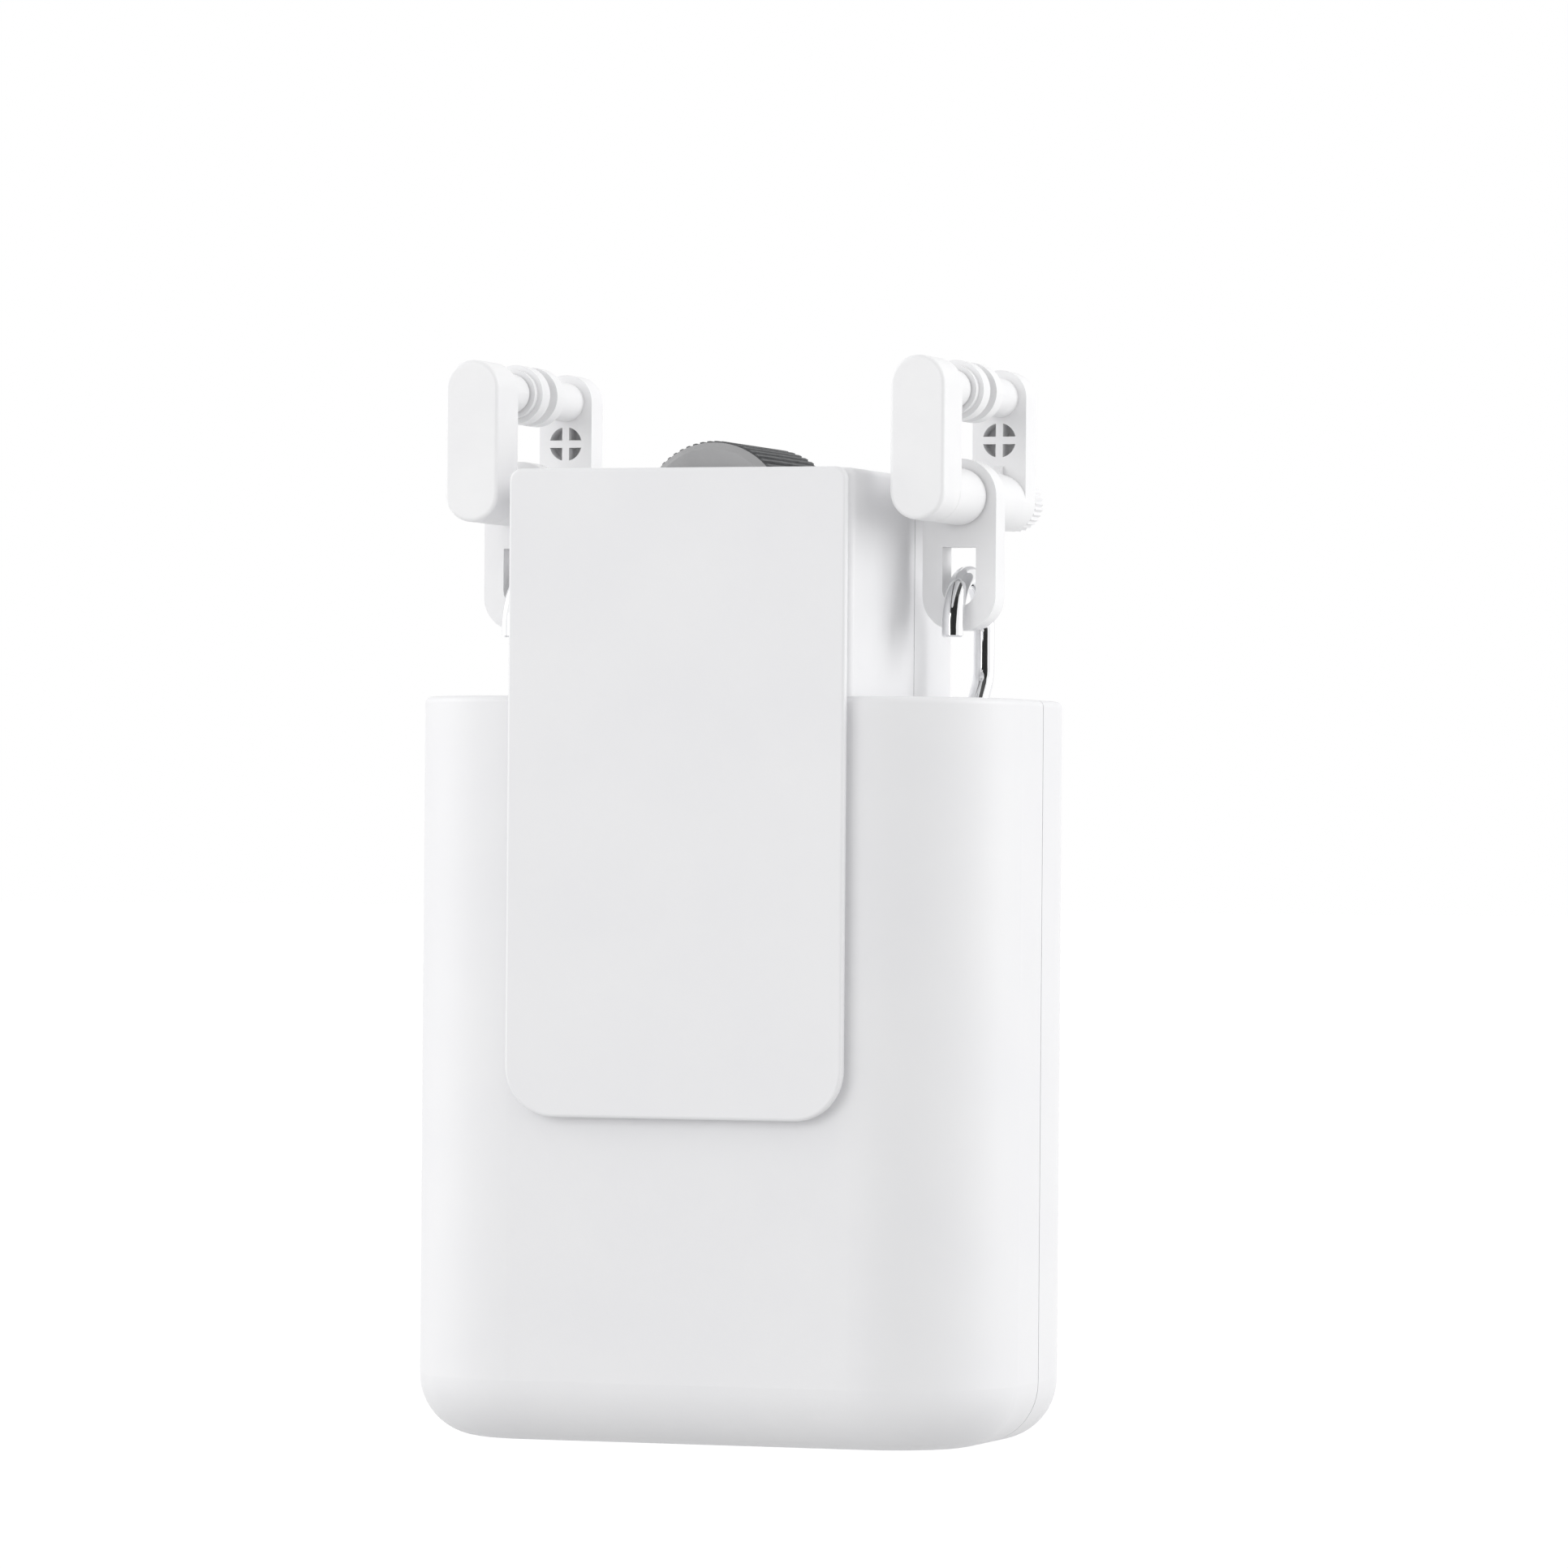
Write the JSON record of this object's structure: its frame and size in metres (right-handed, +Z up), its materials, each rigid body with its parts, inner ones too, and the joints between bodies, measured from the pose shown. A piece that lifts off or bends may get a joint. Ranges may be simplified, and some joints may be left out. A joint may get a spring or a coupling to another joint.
{
  "type": "smart curtain robot",
  "caption": "Hung curtain drive unit: white housing with a rubber-tyred drive wheel on its neck, sprung wire hooks on the shoulders and roller hangers that ride on a curtain track.",
  "frame": {"origin": "top of the drive wheel on the middle plane of wheel and hangers, where the underside of the track runs", "axes": "+Z up, +X along the track to the right as seen from the front panel, +Y to the back"},
  "size_m": [0.075, 0.0489, 0.1299],
  "materials": {
    "shell_white": "fine matt white plastic",
    "panel_grey": "satin white plastic",
    "hanger_white": "matt white acetal plastic",
    "frame_grey": "dark grey filled nylon",
    "gear_cream": "natural acetal",
    "wheel_grey": "satin grey plastic",
    "tyre_rubber": "dark grey rubber",
    "hook_chrome": "polished plated wire",
    "steel": "bright steel",
    "motor_steel": "zinc plated steel can",
    "brass": "turned brass",
    "cell_blue": null,
    "board_green": "glass-filled board with solder mask",
    "part_grey": "module can and chips",
    "switch_black": "black plastic",
    "lens_clear": "clear acrylic light pipe",
    "lens_dark": "dark tinted acrylic"
  },
  "bodies": {
    "housing": {"front_shell": "shell_white", "rear_shell": "shell_white", "front_panel": "panel_grey", "chassis": "frame_grey", "gear_cover": "frame_grey", "axle_bushes": "brass", "motor": "motor_steel", "idler_pin": "steel", "battery_cells": "cell_blue", "cell_cradle": "frame_grey", "cell_contacts": "steel", "main_board": "board_green", "board_parts": "part_grey", "charging_port": "steel", "button_switch": "switch_black", "status_lens": "lens_clear", "sensor_window": "lens_dark", "case_screws": "steel", "chassis_screws": "steel", "hook_bushes": "brass", "left_hook_spring": "steel", "right_hook_spring": "steel"},
    "drive_wheel": {"wheel_hub": "wheel_grey", "wheel_tyre": "tyre_rubber", "wheel_axle": "steel"},
    "layshaft": {"layshaft": "steel", "layshaft_gear": "gear_cream"},
    "idler": {"idler_gear": "gear_cream"},
    "motor_rotor": {"motor_pinion": "brass"},
    "button": {"function_button": "hanger_white"},
    "left_hook": {"left_hook": "hook_chrome", "left_hook_stop": "steel"},
    "left_plate": {"left_hook_plate": "hanger_white"},
    "left_hanger": {"left_front_arm": "hanger_white", "left_rear_arm": "hanger_white", "left_stud": "steel", "left_roller_pins": "steel"},
    "left_front_roller": {"left_front_roller": "hanger_white"},
    "left_rear_roller": {"left_rear_roller": "hanger_white"},
    "left_nut": {"left_thumb_nut": "hanger_white"},
    "right_hook": {"right_hook": "hook_chrome", "right_hook_stop": "steel"},
    "right_plate": {"right_hook_plate": "hanger_white"},
    "right_hanger": {"right_front_arm": "hanger_white", "right_rear_arm": "hanger_white", "right_stud": "steel", "right_roller_pins": "steel"},
    "right_front_roller": {"right_front_roller": "hanger_white"},
    "right_rear_roller": {"right_rear_roller": "hanger_white"},
    "right_nut": {"right_thumb_nut": "hanger_white"}
  },
  "joints": [
    {"name": "wheel_spin", "type": "hinge", "parent": "housing", "child": "drive_wheel", "pos_m": [0, 0, -0.0094], "axis": [0, 1, 0], "continuous": true},
    {"name": "layshaft_spin", "type": "hinge", "parent": "housing", "child": "layshaft", "pos_m": [0, 0, -0.0144], "axis": [0, 1, 0], "continuous": true},
    {"name": "idler_spin", "type": "hinge", "parent": "housing", "child": "idler", "pos_m": [0, 0, -0.0244], "axis": [0, 1, 0], "continuous": true},
    {"name": "motor_spin", "type": "hinge", "parent": "housing", "child": "motor_rotor", "pos_m": [0, 0, -0.0364], "axis": [0, 1, 0], "continuous": true},
    {"name": "button_press", "type": "slide", "parent": "housing", "child": "button", "axis": [0, -1, 0], "range_m": [0, 0.0005], "stiffness_N_per_m": 2000},
    {"name": "left_hook_slide", "type": "slide", "parent": "housing", "child": "left_hook", "axis": [0, 0, 1], "range_m": [0, 0.01], "stiffness_N_per_m": 800, "deforming": ["left_hook_spring"]},
    {"name": "left_plate_swing", "type": "hinge", "parent": "left_hook", "child": "left_plate", "pos_m": [-0.0281, 0, -0.01755], "axis": [0, 1, 0], "range_deg": [-8, 8]},
    {"name": "left_hanger_swing", "type": "hinge", "parent": "left_plate", "child": "left_hanger", "pos_m": [-0.0281, 0, -0.0065], "axis": [0, 1, 0], "range_deg": [-15, 15]},
    {"name": "left_front_roller_spin", "type": "hinge", "parent": "left_hanger", "child": "left_front_roller", "pos_m": [-0.0281, -0.0031, 0.0062], "axis": [0, 1, 0], "continuous": true},
    {"name": "left_rear_roller_spin", "type": "hinge", "parent": "left_hanger", "child": "left_rear_roller", "pos_m": [-0.0281, 0.0031, 0.0062], "axis": [0, 1, 0], "continuous": true},
    {"name": "left_nut_turn", "type": "hinge", "parent": "left_hanger", "child": "left_nut", "pos_m": [-0.0281, 0.0185, -0.0065], "axis": [0, 1, 0], "continuous": true},
    {"name": "right_hook_slide", "type": "slide", "parent": "housing", "child": "right_hook", "axis": [0, 0, 1], "range_m": [0, 0.01], "stiffness_N_per_m": 800, "deforming": ["right_hook_spring"]},
    {"name": "right_plate_swing", "type": "hinge", "parent": "right_hook", "child": "right_plate", "pos_m": [0.0281, 0, -0.01755], "axis": [0, 1, 0], "range_deg": [-8, 8]},
    {"name": "right_hanger_swing", "type": "hinge", "parent": "right_plate", "child": "right_hanger", "pos_m": [0.0281, 0, -0.0065], "axis": [0, 1, 0], "range_deg": [-15, 15]},
    {"name": "right_front_roller_spin", "type": "hinge", "parent": "right_hanger", "child": "right_front_roller", "pos_m": [0.0281, -0.0031, 0.0062], "axis": [0, 1, 0], "continuous": true},
    {"name": "right_rear_roller_spin", "type": "hinge", "parent": "right_hanger", "child": "right_rear_roller", "pos_m": [0.0281, 0.0031, 0.0062], "axis": [0, 1, 0], "continuous": true},
    {"name": "right_nut_turn", "type": "hinge", "parent": "right_hanger", "child": "right_nut", "pos_m": [0.0281, 0.0185, -0.0065], "axis": [0, 1, 0], "continuous": true}
  ],
  "couplings": [
    {"joint": "layshaft_spin", "follows": "wheel_spin", "ratio": 3},
    {"joint": "idler_spin", "follows": "wheel_spin", "ratio": -7},
    {"joint": "motor_spin", "follows": "wheel_spin", "ratio": 21}
  ]
}
